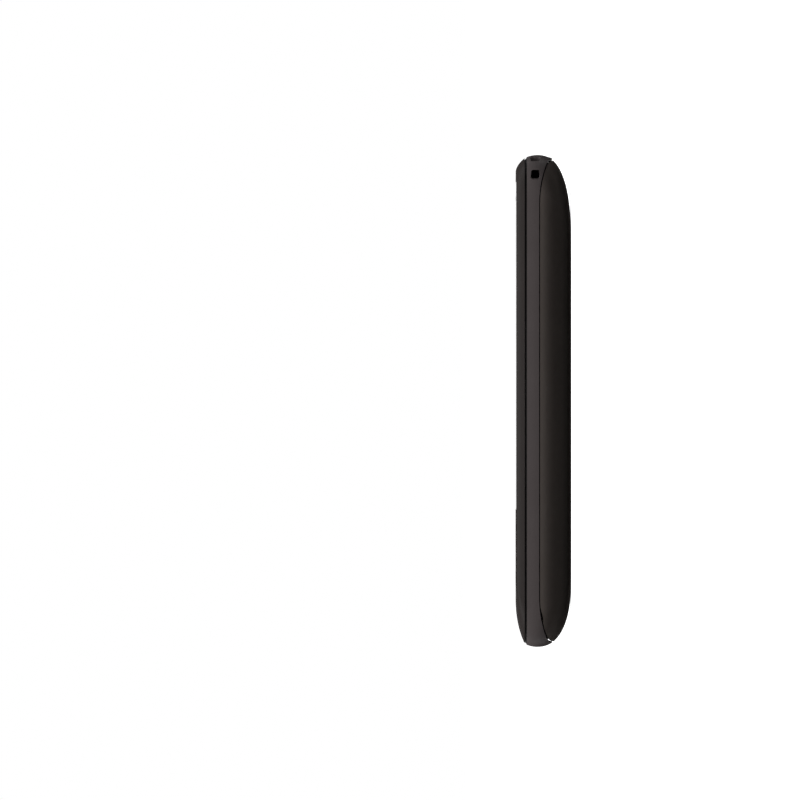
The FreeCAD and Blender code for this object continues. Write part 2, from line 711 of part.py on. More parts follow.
# ---------------------------------------------------------------- main half: housing
def make_mid_frame():
    """The band all round the phone, with the chassis floor that carries boards and battery."""
    body = new_body("mid_frame")
    loft(body, "Additive", rear_sections("0", BAND_ANGLES) + band_sections("0", "body_height"))
    loft(body, "Subtractive", rear_sections("band_wall", BAND_ANGLES)
         + band_sections("band_wall", "body_height"))
    pocket(body, parting("0", "-1"), "-half_width - 1", "half_width + 1", plane="YZ")
    chassis = ("chassis_inset",) * 3 + ("chassis_radius",)
    inside = ("chassis_inset + chassis_wall",) * 3 + ("chassis_radius - chassis_wall",)
    ledge = ("band_wall - 0.2",) * 3 + ("corner_radius - band_wall + 0.2",)
    pad(body, start="ledge_bottom", end="ledge_top", **outline(*ledge))
    pad(body, start="skirt_bottom", end="ledge_top", **outline(*chassis))
    pocket(body, start="floor_top", end="ledge_top", **outline(*inside))
    pocket(body, start="skirt_bottom", end="floor_bottom", **outline(*inside))
    make_lanyard_hole(body)
    opening = rounded("port_width + 2 * port_clearance", "port_thickness + 2 * port_clearance",
                      "port_thickness / 2 + port_clearance - 0.01")
    pocket(body, opening, "-half_length - 1", "-half_length + chassis_inset + 0.3",
           plane="XZ", centre=("0", "port_height"))
    pocket(body, rounded("port_width + 1", "port_thickness + 0.8", "0.4"),
           "-half_length + chassis_inset - 0.1", "port_back + 0.4", plane="XZ", centre=("0", "port_height"))
    for side in ("contact_spacing / 2", "-contact_spacing / 2"):
        pocket(body, circle("contact_ring_diameter + 2 * contact_clearance"), "-half_length - 1",
               "contact_back + 0.2", plane="XZ", centre=(side, "port_height"))
    pocket(body, circle("torch_diameter + 2 * torch_clearance"), "led_back - 0.4", "half_length + 1",
           plane="XZ", centre=("torch_side", "torch_height"))
    screw_holes(body, CHASSIS_SCREWS, "floor_bottom", "floor_top")
    return body


def make_lanyard_hole(body):
    """A solid corner block with a tunnel round the corner post, from the end face to the side face."""
    bend = "corner_radius - band_wall / 2"
    block = ("half_width - band_wall / 2 - lanyard_block / 2",
             "half_length - band_wall / 2 - lanyard_block / 2")
    pad(body, rounded("lanyard_block", "lanyard_block", "1.5", "0.1", bend, "0.1"),
        "parting_height - parting_gap", "deck_bottom - 0.1", centre=block)
    square = rounded("lanyard_hole", "lanyard_hole", "0.45")
    end_mouth = (LANYARD[0], "lanyard_height")
    side_mouth = (LANYARD[1], "lanyard_height")
    reach = "lanyard_hole / 2"
    pocket(body, square, f"{LANYARD[1]} - {reach}", "half_length + 1", plane="XZ", centre=end_mouth)
    pocket(body, square, f"{LANYARD[0]} - {reach}", "half_width + 1", plane="YZ", centre=side_mouth)
    flare(body, square, "half_length - lanyard_flare_depth", "half_length + 1", "XZ", end_mouth)
    flare(body, square, "half_width - lanyard_flare_depth", "half_width + 1", "YZ", side_mouth)


def make_rear_cover():
    """The snap-on rear shell, rounded like a pebble."""
    body = new_body("rear_cover")
    loft(body, "Additive", rear_sections("0", REAR_ANGLES))
    loft(body, "Subtractive", rear_sections("cover_wall", REAR_ANGLES))
    pocket(body, parting("parting_gap", "body_height + 1"), "-half_width - 1", "half_width + 1",
           plane="YZ")
    hooks = ("-(half_length - hook_port_inset)", "(hook_port_inset - hook_torch_inset) / 2",
             "half_length - hook_torch_inset")
    for place in hooks:
        for start, end in (("half_width - 1.75", "half_width - 1.2"),
                           ("-half_width + 1.2", "-half_width + 1.75")):
            pad(body, block("hook_length", "hook_height"), start, end, plane="YZ",
                centre=(place, "skirt_bottom + 0.6"))
    pocket(body, circle("torch_diameter + 4 * torch_clearance"), "half_length - 6", "half_length + 1",
           plane="XZ", centre=("torch_side", "torch_height"))
    notch = polygon(("-half_length + pry_start", "parting_height - 1.1"),
                    ("-half_length + pry_start + pry_length * 0.55", "parting_height - 0.4 - pry_depth"),
                    ("-half_length + pry_start + pry_length", "parting_height - 0.3"),
                    ("-half_length + pry_start + pry_length", "parting_height + 0.5"),
                    ("-half_length + pry_start", "parting_height + 0.5"))
    pocket(body, notch, "half_width - 1.6", "half_width + 1", plane="YZ")
    slot = rounded("grille_slot_length", "grille_slot_width", "grille_slot_width / 2 - 0.01")
    for i in range(int(SIZES["grille_slots"])):
        place = f"loudspeaker_place + grille_offset + grille_pitch * ({i} - (grille_slots - 1) / 2)"
        pocket(body, slot, "-0.1", "cover_wall + 0.4", centre=("0", place))
    camera = ("0", "camera_place")
    pocket(body, circle("camera_window + 2 * camera_window_clearance"), "-0.1", "cover_wall - 0.2",
           centre=camera)
    pocket(body, circle("camera_opening"), "-0.1", "cover_wall + 0.2", centre=camera)
    return body


def make_keypad_deck():
    """The dark plate inside the band: keypad openings at the port end, slide bed at the other."""
    body = new_body("keypad_deck")
    deck = ("deck_side_inset", "deck_end_inset", "deck_end_inset", "deck_radius")
    rim = ("rim_side_inset + deck_rim_inset", "rim_end_inset + deck_rim_inset",
           "rim_end_inset + deck_rim_inset", "corner_radius - deck_rim_inset")
    pad(body, start="body_height", end="deck_top", **outline(*rim))
    chamfer_top(body, "deck_edge_chamfer")
    pad(body, start="deck_bottom", end="body_height", **outline(*deck))
    beam_length = "half_length - deck_end_inset - rail_start + 2"
    pad(body, rounded("phone_width - 2 * deck_side_inset - 0.4", beam_length, "1", "1",
                      "deck_radius", "deck_radius"),
        "deck_beam_bottom", "deck_bottom",
        centre=("0", f"half_length - deck_end_inset - ({beam_length}) / 2 - 0.2"))
    pocket(body, rounded("rail_width + 0.4", "rail_length + 0.6", "0.6"), "rail_bottom", "deck_top + 1",
           centre=("0", "(rail_start + rail_end) / 2"))
    for place in CHASSIS_SCREWS:
        pad(body, circle("boss_diameter"), "floor_top", "deck_beam_bottom", centre=place)
    screw_holes(body, CHASSIS_SCREWS, "floor_top - 0.5", "deck_beam_bottom + 0.4")
    screw_holes(body, RAIL_SCREWS, "deck_beam_bottom - 0.5", "rail_bottom + 0.5")
    pocket(body, block("flex_width + 1", "flex_slot_length"), "deck_beam_bottom - 0.5",
           "rail_bottom + 0.5", centre=("0", "flex_slot"))
    pocket(body, circle("torch_diameter + 4 * torch_clearance"), "led_back - 0.4", "half_length",
           plane="XZ", centre=("torch_side", "torch_height"))
    corner = "band_wall / 2 + lanyard_block / 2"
    notch = "lanyard_block + 0.3"
    pocket(body, rounded(notch, notch, "0.5"), "deck_beam_bottom - 0.1", "deck_bottom",
           centre=(f"half_width - ({corner})", f"half_length - ({corner})"))
    for place, radii in key_places():
        hole = [f"{radius} + key_clearance" for radius in radii]
        pocket(body, rounded("key_width + 2 * key_clearance", "key_height + 2 * key_clearance", *hole),
               "deck_bottom - 0.1", "deck_top + 0.5", centre=place)
    return body


# ---------------------------------------------------------------- main half: keypad
def key_places():
    """Centre and corner radii of each number key: the outer lower corners follow the deck's own."""
    places = []
    for index in range(12):
        row, column = divmod(index, 3)
        radii = ["key_radius"] * 4
        if row == 3 and column == 0:
            radii[0] = "key_corner_radius"
        if row == 3 and column == 2:
            radii[1] = "key_corner_radius"
        centre = (f"key_columns_pitch * {column - 1}", f"keypad_top_row - key_rows_pitch * {row}")
        places.append((centre, radii))
    return places


def make_number_key(name, place, radii):
    """One key cap, made about its own centre and placed in its opening."""
    body = new_body(name)
    rim = block("key_width + 2 * key_rim", "key_height + 1.4 * key_rim")
    if "key_corner_radius" in radii:
        rim = rounded("key_width + 2 * key_rim", "key_height + 1.4 * key_rim",
                      *(f"{radius} + key_rim" for radius in radii))
    pad(body, rim, "key_rim_bottom", "key_rim_top")
    pad(body, block("nub_width", "nub_width"), "nub_bottom", "key_rim_bottom")
    pad(body, rounded("key_width", "key_height", *radii), "key_rim_top", "key_top")
    chamfer_top(body, "key_chamfer")
    for axis, text in zip("xy", place):
        body.setExpression(f".Placement.Base.{axis}", expression(text))
    return body


def make_keypad_board():
    body = new_body("keypad_board")
    corner = "key_corner_radius + 0.5"
    pad(body, rounded("keypad_width - 0.4", "keypad_length - 0.4", corner, corner, "1", "1"),
        "keypad_board_bottom", "keypad_board_top", centre=("0", "keypad_centre"))
    return body


def make_keypad_domes():
    """The film of snap domes on the keypad board."""
    body = new_body("keypad_domes")
    pad(body, block("2 * key_columns_pitch + 6", "3 * key_rows_pitch + 4"), "keypad_board_top",
        "dome_top", centre=("0", "keypad_centre"))
    return body


# ---------------------------------------------------------------- main half: inside
def make_main_board():
    body = new_body("main_board")
    length = "board_top_end - board_bottom_end"
    pad(body, rounded("board_width", length, "1.2"), "board_bottom", "board_top",
        centre=("0", "(board_top_end + board_bottom_end) / 2"))
    pocket(body, rounded("port_width + 0.8", "8", "0.5"), "board_bottom - 0.1", "board_top + 0.1",
           centre=("0", "port_back - 3.6"))
    corner = "band_wall / 2 + lanyard_block / 2"
    notch = "lanyard_block + 0.6"
    pocket(body, rounded(notch, notch, "0.5"), "board_bottom - 0.1", "board_top + 0.1",
           centre=(f"half_width - ({corner})", f"half_length - ({corner})"))
    return body


def make_shield_cans():
    """The two pressed covers over the radio and the processor, either side of the flat cable."""
    body = new_body("shield_cans")
    low = "carriage_start + middle_can_inset"
    high = "flex_slot - middle_can_gap"
    pad(body, rounded("torch_can_width", "torch_can_length", "1"), "board_top", "board_top + can_height",
        centre=("0", "board_top_end - torch_can_inset - torch_can_length / 2"))
    pad(body, rounded("middle_can_width", f"({high}) - ({low})", "1"), "board_top",
        "board_top + can_height", centre=("0", f"(({low}) + ({high})) / 2"))
    chamfer_top(body, "0.25")
    return body


def make_battery():
    body = new_body("battery")
    pad(body, rounded("battery_width", "battery_thickness", "1.6"), "battery_end", "battery_top_end",
        plane="XZ", centre=("0", "battery_bottom + battery_thickness / 2"))
    return body


def make_battery_connector():
    """A block with three spring blades that press on the battery's end."""
    body = new_body("battery_connector")
    back = "battery_top_end + terminal_gap + 0.9"
    pad(body, block("12", "2.4"), "floor_bottom - 2.4", "floor_bottom", centre=("0", f"{back} + 1.2"))
    for side in ("-terminal_pitch", "0", "terminal_pitch"):
        pad(body, block("1.2", "0.9"), "floor_bottom - 1.7", "floor_bottom - 0.9",
            centre=(side, f"{back} - 0.45"))
    return body


def make_usb_shell():
    """The stamped oval shell of the charging port."""
    body = new_body("usb_shell")
    centre = ("0", "port_height")
    pad(body, rounded("port_width", "port_thickness", "port_thickness / 2 - 0.01"),
        "port_front", "port_back", plane="XZ", centre=centre)
    pocket(body, rounded("port_width - 2 * port_wall", "port_thickness - 2 * port_wall",
                         "port_thickness / 2 - port_wall - 0.01"),
           "port_front - 0.1", "port_back - port_wall", plane="XZ", centre=centre)
    return body


def make_usb_tongue():
    body = new_body("usb_tongue")
    centre = ("0", "port_height")
    pad(body, block("tongue_width", "tongue_thickness"), "port_front + 0.6", "port_back - port_wall",
        plane="XZ", centre=centre)
    pad(body, rounded("tongue_width + 1.2", "port_thickness - 2 * port_wall - 0.2", "0.9"),
        "port_back - port_wall - 1.2", "port_back - port_wall", plane="XZ", centre=centre)
    return body


def make_charging_contacts():
    """Two gold pins with domed heads, for a charging stand."""
    body = new_body("charging_contacts")
    edge = "contact_diameter / 2"
    profile = polygon(("contact_back", "0"), ("contact_back", edge), ("contact_front + contact_dome", edge),
                      ("contact_front + contact_dome * 0.45", "contact_diameter * 0.40"),
                      ("contact_front + contact_dome * 0.12", "contact_diameter * 0.22"),
                      ("contact_front", "0"))
    for side in ("contact_spacing / 2", "-contact_spacing / 2"):
        revolve(body, profile, ("0", "port_height"), side)
    return body


def make_contact_rings():
    """Dark insulating sleeves between the pins and the band."""
    body = new_body("contact_rings")
    for side in ("contact_spacing / 2", "-contact_spacing / 2"):
        centre = (side, "port_height")
        pad(body, circle("contact_ring_diameter"), "contact_front + 0.05", "contact_back - 1.2",
            plane="XZ", centre=centre)
        pocket(body, circle("contact_diameter + 2 * contact_clearance"), "contact_front - 0.1",
               "contact_back - 1", plane="XZ", centre=centre)
    return body


def make_torch_lens():
    """A clear plug with a domed front."""
    body = new_body("torch_lens")
    edge = "torch_diameter / 2"
    profile = polygon(("lens_back", "0"), ("lens_back", edge), ("lens_front - torch_dome", edge),
                      ("lens_front - torch_dome * 0.55", "torch_diameter * 0.44"),
                      ("lens_front - torch_dome * 0.15", "torch_diameter * 0.26"), ("lens_front", "0"))
    revolve(body, profile, ("0", "torch_height"), "torch_side")
    return body


def make_torch_reflector():
    """A bright bowl between the lens and the lamp."""
    body = new_body("torch_reflector")
    outer = "torch_diameter / 2"
    profile = polygon(("reflector_back", "torch_led_size * 0.75"), ("reflector_back", outer),
                      ("lens_back - 0.05", outer), ("lens_back - 0.05", "torch_diameter / 2 - 0.25"),
                      ("lens_back - torch_reflector_depth * 0.55", "torch_diameter * 0.36"))
    revolve(body, profile, ("0", "torch_height"), "torch_side")
    return body


def make_torch_led():
    body = new_body("torch_led")
    centre = ("torch_side", "torch_height")
    pad(body, circle("torch_diameter"), "led_back", "reflector_back - 0.05", plane="XZ", centre=centre)
    pad(body, block("torch_led_size", "torch_led_size"), "reflector_back - 0.05",
        "reflector_back + 0.75", plane="XZ", centre=centre)
    return body


def make_loudspeaker():
    body = new_body("loudspeaker")
    centre = ("0", "loudspeaker_place")
    pad(body, rounded("loudspeaker_width", "loudspeaker_length", "2.5"), "floor_bottom - 3.2",
        "floor_bottom - 0.1", centre=centre)
    pad(body, rounded("loudspeaker_width - 4", "loudspeaker_length - 4", "2.5"), "floor_bottom - 3.5",
        "floor_bottom - 3.2", centre=centre)
    return body


def make_small_part(name, draw, start, end, centre):
    """A piece that is one plain prism."""
    body = new_body(name)
    pad(body, draw, start, end, centre=centre)
    return body


def make_card_tray(name, side, width, wall):
    """A pressed tray beside the camera: the card slides in at its battery side."""
    body = new_body(name)
    centre = (side, "card_place")
    pad(body, block(width, "card_length"), "floor_bottom - 1.6", "floor_bottom - 0.1", centre=centre)
    pocket(body, block(f"{width} - 2 * {wall}", "card_length"), "floor_bottom - 1.2",
           "floor_bottom - 0.35", centre=(side, "card_place - 1"))
    return body


def make_sim_holder():
    """The wider tray, with a window in its back."""
    side = "-(half_width - sim_side_inset - sim_width / 2)"
    body = make_card_tray("sim_holder", side, "sim_width", "0.85")
    pocket(body, block("sim_width - 8", "card_length - 7"), "floor_bottom - 1.7", "floor_bottom - 1.1",
           centre=(side, "card_place"))
    return body


def make_memory_card_holder():
    side = "half_width - memory_side_inset - memory_width / 2"
    return make_card_tray("memory_card_holder", side, "memory_width", "1.35")


def make_camera_module():
    body = new_body("camera_module")
    centre = ("0", "camera_place")
    pad(body, block("camera_size", "camera_size"), "floor_bottom - 2.6", "floor_bottom - 0.1",
        centre=centre)
    pad(body, circle("camera_barrel"), "cover_wall + 0.45", "floor_bottom - 2.6", centre=centre)
    return body


# ---------------------------------------------------------------- slide module
def make_slide_rails():
    """One folded sheet: bed plate with an inward lip along each side."""
    body = new_body("slide_rails")
    edge = "rail_width / 2"
    profile = polygon(
        (f"-{edge}", "rail_bottom"), (edge, "rail_bottom"), (edge, "lip_top"), ("lip_edge", "lip_top"),
        ("lip_edge", "lip_bottom"), ("rail_inner", "lip_bottom"), ("rail_inner", "rail_floor"),
        ("-(rail_inner)", "rail_floor"), ("-(rail_inner)", "lip_bottom"), ("-(lip_edge)", "lip_bottom"),
        ("-(lip_edge)", "lip_top"), (f"-{edge}", "lip_top"))
    pad(body, profile, "rail_start", "rail_end", plane="XZ")
    screw_holes(body, RAIL_SCREWS, "rail_bottom - 0.1", "rail_floor + 0.1")
    pocket(body, block("flex_width + 1", "flex_slot_length"), "rail_bottom - 0.1", "rail_floor + 0.1",
           centre=("0", "flex_slot"))
    for place in ("rail_start + rail_window_inset", "rail_end - rail_window_inset"):
        pocket(body, block("rail_window_width", "rail_window_length"), "rail_bottom - 0.1",
               "rail_floor + 0.1", centre=("0", place))
    return body


def make_slide_carriage():
    """The hat-shaped plate under the display half, whose flanges run inside the rails."""
    body = new_body("slide_carriage")
    leg_inner = "leg_outer - slide_sheet"
    profile = polygon(
        ("-(leg_outer)", "front_base"), ("-(leg_outer)", "flange_top"),
        ("-(flange_edge)", "flange_top"), ("-(flange_edge)", "flange_bottom"),
        (f"-({leg_inner})", "flange_bottom"), (f"-({leg_inner})", "web_bottom"),
        (leg_inner, "web_bottom"), (leg_inner, "flange_bottom"), ("flange_edge", "flange_bottom"),
        ("flange_edge", "flange_top"), ("leg_outer", "flange_top"), ("leg_outer", "front_base"))
    pad(body, profile, "carriage_start", "carriage_end", plane="XZ")
    screw_holes(body, CARRIAGE_SCREWS, "web_bottom - 0.1", "front_base + 0.1")
    return body


def make_slide_runners():
    """Four plastic clips that keep the flanges off the metal of the rails."""
    body = new_body("slide_runners")
    low = "rail_floor + 0.04"
    high = "lip_bottom - 0.04"
    for sign in ("", "-"):
        profile = polygon(
            (f"{sign}(lip_edge + 0.15)", low), (f"{sign}(rail_inner - 0.12)", low),
            (f"{sign}(rail_inner - 0.12)", high), (f"{sign}(lip_edge + 0.15)", high),
            (f"{sign}(lip_edge + 0.15)", "flange_top"), (f"{sign}(flange_edge)", "flange_top"),
            (f"{sign}(flange_edge)", "flange_bottom"), (f"{sign}(lip_edge + 0.15)", "flange_bottom"))
        pad(body, profile, "carriage_start + 1", "carriage_start + 1 + runner_length", plane="XZ")
        pad(body, profile, "carriage_end - 1 - runner_length", "carriage_end - 1", plane="XZ")
    return body


def make_slide_stops():
    """Soft buffers in the rail ends."""
    body = new_body("slide_stops")
    for side in ("lip_edge + 0.8", "-(lip_edge + 0.8)"):
        pad(body, block("1.3", "stop_thickness"), "rail_floor", "lip_bottom - 0.05",
            centre=(side, "rail_start + stop_thickness / 2"))
        pad(body, block("1.3", "end_stop_length"), "rail_floor", "lip_bottom - 0.05",
            centre=(side, "rail_end - end_stop_length / 2"))
    return body


def make_detent_springs():
    """Two bowed leaves on the rail plate that hold the slide at either end."""
    body = new_body("detent_springs")
    crest = "web_bottom - 0.1"
    low = "rail_floor + detent_sheet"
    profile = polygon(
        ("detent_centre - 9", "rail_floor"), ("detent_centre - 5", "rail_floor"),
        ("detent_centre - 1", f"{crest} - detent_sheet"), ("detent_centre + 1", f"{crest} - detent_sheet"),
        ("detent_centre + 5", "rail_floor"), ("detent_centre + 6.2", "rail_floor"),
        ("detent_centre + 6.2", low), ("detent_centre + 5.1", low), ("detent_centre + 1.1", crest),
        ("detent_centre - 1.1", crest), ("detent_centre - 5.1", low), ("detent_centre - 9", low))
    pad(body, profile, "detent_outer - detent_width", "detent_outer", plane="YZ")
    pad(body, profile, "-(detent_outer)", "-(detent_outer - detent_width)", plane="YZ")
    return body


def make_flex_cable():
    """The flat cable between the halves: along the rail plate, round a fold and back above it."""
    body = new_body("flex_cable")
    low = "rail_floor + 0.05"
    high = "web_bottom - 0.03"
    thick = "flex_thickness"
    end = "flex_slot + 0.6"
    back = "flex_fold + flex_return"
    profile = polygon(
        (end, "board_top"), (end, f"{low} + {thick}"), ("flex_fold + 0.45", f"{low} + {thick}"),
        ("flex_fold + 0.15", f"{low} + {thick} + 0.1"), ("flex_fold + 0.15", f"{high} - {thick} - 0.1"),
        ("flex_fold + 0.45", f"{high} - {thick}"), (back, f"{high} - {thick}"), (back, high),
        ("flex_fold + 0.35", high), ("flex_fold", f"{high} - 0.15"), ("flex_fold", f"{low} + 0.15"),
        ("flex_fold + 0.35", low), (f"{end} - 0.3", low), (f"{end} - 0.3", "board_top"))
    pad(body, profile, "-flex_width / 2", "flex_width / 2", plane="YZ")
    return body


# ---------------------------------------------------------------- display half
def front_outline(inset):
    """The display half's base outline drawn in by an inset."""
    return outline(f"front_side_inset + ({inset})", f"front_top_inset + ({inset})",
                   f"front_bottom_inset + ({inset})", f"front_radius - ({inset})")


def front_cavity():
    return outline("front_cavity_side", "front_cavity_top_inset", "front_cavity_bottom_inset", "3")


def make_front_frame():
    """The display half's outer frame and key panel, with a long sloping chin."""
    body = new_body("front_frame")
    loft(body, "Additive", [
        ("front_base", "front_side_inset", "front_top_inset", "front_bottom_inset", "front_radius"),
        ("front_base + shoulder_height", "shoulder_side_inset", "shoulder_top_inset",
         "shoulder_bottom_inset", "shoulder_radius"),
        ("front_face", "face_side_inset", "face_top_inset", "face_bottom_inset", "face_radius")])
    pocket(body, start="front_base - 0.1", end="back_sheet_top", **outline(*back_sheet_insets("0.1")))
    pocket(body, start="back_sheet_top - 0.1", end="cavity_top", **front_cavity())
    pocket(body, rounded("window_width + 2 * window_clearance", "window_length + 2 * window_clearance",
                         "window_radius + window_clearance"),
           "window_bottom", "front_face + 0.1", centre=("0", "window_centre"))
    pocket(body, rounded("window_width - 2 * window_ledge", "window_length - 2 * window_ledge", "1.2"),
           "cavity_top - 0.1", "window_bottom + 0.1", centre=("0", "window_centre"))
    for key in front_keys():
        pocket(body, rounded(f"{key['width']} + 2 * key_clearance", f"{key['height']} + 2 * key_clearance",
                             f"{key['radius']} + key_clearance"),
               "cavity_top - 0.1", "front_face + 0.1", centre=key["centre"])
    return body


def back_sheet_insets(clearance):
    """Insets of the back sheet: it stops short of the thin end of the chin."""
    return (f"front_side_inset + frame_lip - {clearance}", f"front_top_inset + frame_lip - {clearance}",
            f"shoulder_bottom_inset + 0.6 - {clearance}", f"front_radius - frame_lip + {clearance}")


def make_back_sheet():
    """The flat metal sheet that closes the display half from below."""
    body = new_body("back_sheet")
    pad(body, start="front_base", end="back_sheet_top", **outline(*back_sheet_insets("0")))
    screw_holes(body, CARRIAGE_SCREWS, "front_base - 0.1", "back_sheet_top + 0.1")
    return body


def make_display_window():
    body = new_body("display_window")
    pad(body, rounded("window_width", "window_length", "window_radius"), "window_bottom", "front_face",
        centre=("0", "window_centre"))
    pocket(body, rounded("earpiece_length", "earpiece_width", "earpiece_width / 2 - 0.01"),
           "window_bottom - 0.1", "front_face + 0.1", centre=("0", "earpiece_centre"))
    return body


def make_front_key_board():
    """The thin board under the front keys, with the film of domes on it."""
    body = new_body("front_key_board")
    width = "phone_width - 2 * front_board_side_inset"
    pad(body, block(width, "front_board_length"), "front_board_bottom", "front_board_top",
        centre=("0", "rocker_centre + 1"))
    pad(body, block(f"{width} - 2 * front_domes_inset", "front_domes_length"), "front_board_top",
        "front_dome_top", centre=("0", "rocker_centre"))
    return body


def front_keys():
    """Names, sizes and places of the front keys that have an opening of their own."""
    rocker = {"name": "navigation_key", "width": "rocker_size", "height": "rocker_size",
              "radius": "rocker_radius", "centre": ("0", "rocker_centre")}
    keys = [rocker]
    for name, side, width, height, centre in (
            ("left_soft_key", "-soft_key_side", "soft_key_width", "soft_key_height", "soft_key_centre"),
            ("right_soft_key", "soft_key_side", "soft_key_width", "soft_key_height", "soft_key_centre"),
            ("call_key", "-call_key_side", "call_key_width", "call_key_height", "call_key_centre"),
            ("end_key", "call_key_side", "call_key_width", "call_key_height", "call_key_centre")):
        keys.append({"name": name, "width": width, "height": height, "radius": "front_key_radius",
                     "centre": (side, centre)})
    return keys


def make_front_key(key):
    body = new_body(key["name"])
    rocker = key["name"] == "navigation_key"
    top_gap = "rocker_tilt_gap" if rocker else "0.05"
    rim_top = f"cavity_top - {top_gap}"
    pad(body, block(f"{key['width']} + 2 * front_key_rim", f"{key['height']} + 2 * front_key_rim"),
        f"{rim_top} - 0.15", rim_top)
    pad(body, rounded(key["width"], key["height"], key["radius"]), rim_top, "front_key_top")
    chamfer_top(body, "key_chamfer")
    if rocker:
        pocket(body, rounded("rocker_hole", "rocker_hole", "select_radius + select_clearance"),
               f"{rim_top} - 0.5", "front_face + 0.5")
    else:
        pad(body, block("nub_width", "nub_width"), "front_nub_bottom", f"{rim_top} - 0.15")
    for axis, text in zip("xy", key["centre"]):
        body.setExpression(f".Placement.Base.{axis}", expression(text))
    return body


def make_select_key():
    body = new_body("select_key")
    pad(body, rounded("select_size", "select_size", "select_radius"), "front_nub_bottom",
        "front_key_top")
    chamfer_top(body, "key_chamfer")
    body.setExpression(".Placement.Base.y", expression("rocker_centre"))
    return body


# ---------------------------------------------------------------- build
def build_main_half():
    make_mid_frame()
    make_rear_cover()
    make_keypad_deck()
    for name, (place, radii) in zip(KEY_NAMES, key_places()):
        make_number_key(name, place, radii)
    make_keypad_board()
    make_keypad_domes()
    make_main_board()
    make_shield_cans()
    make_battery()
    make_battery_connector()
    make_usb_shell()
    make_usb_tongue()
    make_charging_contacts()
    make_contact_rings()
    make_torch_lens()
    make_torch_reflector()
    make_torch_led()
    make_loudspeaker()
    make_small_part("vibration_motor", circle("motor_diameter"), "floor_bottom - 2.9",
                    "floor_bottom - 0.1", ("motor_side", "loudspeaker_place"))
    make_small_part("microphone", rounded("3.2", "2.4", "0.2"), "board_top",
                    "keypad_board_bottom - 0.05", ("-microphone_side", "board_bottom_end + 1.6"))
    make_sim_holder()
    make_memory_card_holder()
    make_camera_module()
    make_small_part("camera_window", circle("camera_window"), "0.1", "cover_wall - 0.22",
                    ("0", "camera_place"))
    screws("chassis_screws", CHASSIS_SCREWS, ("floor_bottom - screw_head_height", "floor_bottom"),
           ("floor_bottom", "deck_beam_bottom + 0.3"))


def build_slide():
    make_slide_rails()
    make_slide_carriage()
    make_slide_runners()
    make_slide_stops()
    make_detent_springs()
    make_flex_cable()
    screws("rail_screws", RAIL_SCREWS, ("rail_floor", "rail_floor + screw_head_height"),
           ("deck_beam_bottom + 0.1", "rail_floor"))
    screws("carriage_screws", CARRIAGE_SCREWS, ("web_bottom - screw_head_height", "web_bottom"),
           ("web_bottom", "back_sheet_top"))


def build_display_half():
    make_front_frame()
    make_back_sheet()
    panel_low = "window_low + panel_low_inset"
    panel_high = "window_high - panel_high_inset"
    make_small_part("display_panel", rounded("window_width - 2 * panel_side_inset",
                                             f"({panel_high}) - ({panel_low})", "0.8"),
                    "panel_bottom", "panel_top", ("0", f"(({panel_high}) + ({panel_low})) / 2"))
    make_display_window()
    make_small_part("receiver", rounded("earpiece_length + 1", "receiver_length", "1"), "panel_bottom",
                    "panel_top - 0.1", ("0", "earpiece_centre"))
    make_small_part("earpiece_mesh", rounded("earpiece_length + 1.4", "earpiece_width + 0.7", "0.5"),
                    "window_bottom - 0.1", "window_bottom", ("0", "earpiece_centre"))
    make_front_key_board()
    for key in front_keys():
        make_front_key(key)
    make_select_key()


def check_and_write():
    """Stops on any failed feature or bad solid, then writes each sub-part to its own file."""
    doc.recompute()
    failed = [item.Label for item in doc.Objects if {"Invalid", "Error"} & set(item.State)]
    if failed:
        raise RuntimeError(f"failed features: {failed}")
    for part in parts:
        if part.Shape.isNull() or not part.Shape.isValid():
            raise RuntimeError(f"{part.Label} has no valid shape")
    os.makedirs("parts", exist_ok=True)
    for part in parts:
        part.Shape.exportStep(f"parts/{part.Label}.step")


build_main_half()
build_slide()
build_display_half()
check_and_write()
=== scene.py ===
"""Slider phone, lying on its back with its slide closed.

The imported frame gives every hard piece. This script gives each one its material, adds the legends and
marks on the keys, and sets the floor, the light and the camera. Lengths are in metres, and MM turns
millimetres into them. X runs across the phone, Y from the charging port to the torch, Z up.
"""
import math

import bpy
import numpy as np
from mathutils import Matrix, Vector


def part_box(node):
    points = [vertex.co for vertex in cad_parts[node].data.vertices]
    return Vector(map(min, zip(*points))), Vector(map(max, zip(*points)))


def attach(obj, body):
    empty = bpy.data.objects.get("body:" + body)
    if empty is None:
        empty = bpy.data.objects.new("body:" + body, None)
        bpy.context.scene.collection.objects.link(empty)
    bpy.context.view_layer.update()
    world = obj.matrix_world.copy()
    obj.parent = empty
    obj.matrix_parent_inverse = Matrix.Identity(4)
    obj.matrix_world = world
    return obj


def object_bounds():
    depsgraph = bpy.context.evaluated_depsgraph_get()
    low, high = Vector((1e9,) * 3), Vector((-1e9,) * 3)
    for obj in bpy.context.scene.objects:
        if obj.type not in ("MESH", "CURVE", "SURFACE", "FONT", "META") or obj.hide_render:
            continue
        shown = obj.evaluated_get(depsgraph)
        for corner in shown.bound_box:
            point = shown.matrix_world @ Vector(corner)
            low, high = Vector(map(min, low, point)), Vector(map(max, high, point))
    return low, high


MM = 0.001
CORNER_RADIUS = 9.5 * MM      # of the phone's outline, seen from above
SKIN_DEPTH = 1.2 * MM        # how far in from the outline the band keeps its lacquer colour; further in it is painted near-black as painted shade
DISPLAY_MARGINS = (1.6, 2.2)  # dark border of the display panel at its sides and at its ends, in millimetres

# The Mix node's sockets share their names, so they are taken by number.
SHARE, NUMBER_A, NUMBER_B, COLOUR_A, COLOUR_B = 0, 2, 3, 6, 7
MIXED_NUMBER, MIXED_COLOUR = 0, 2

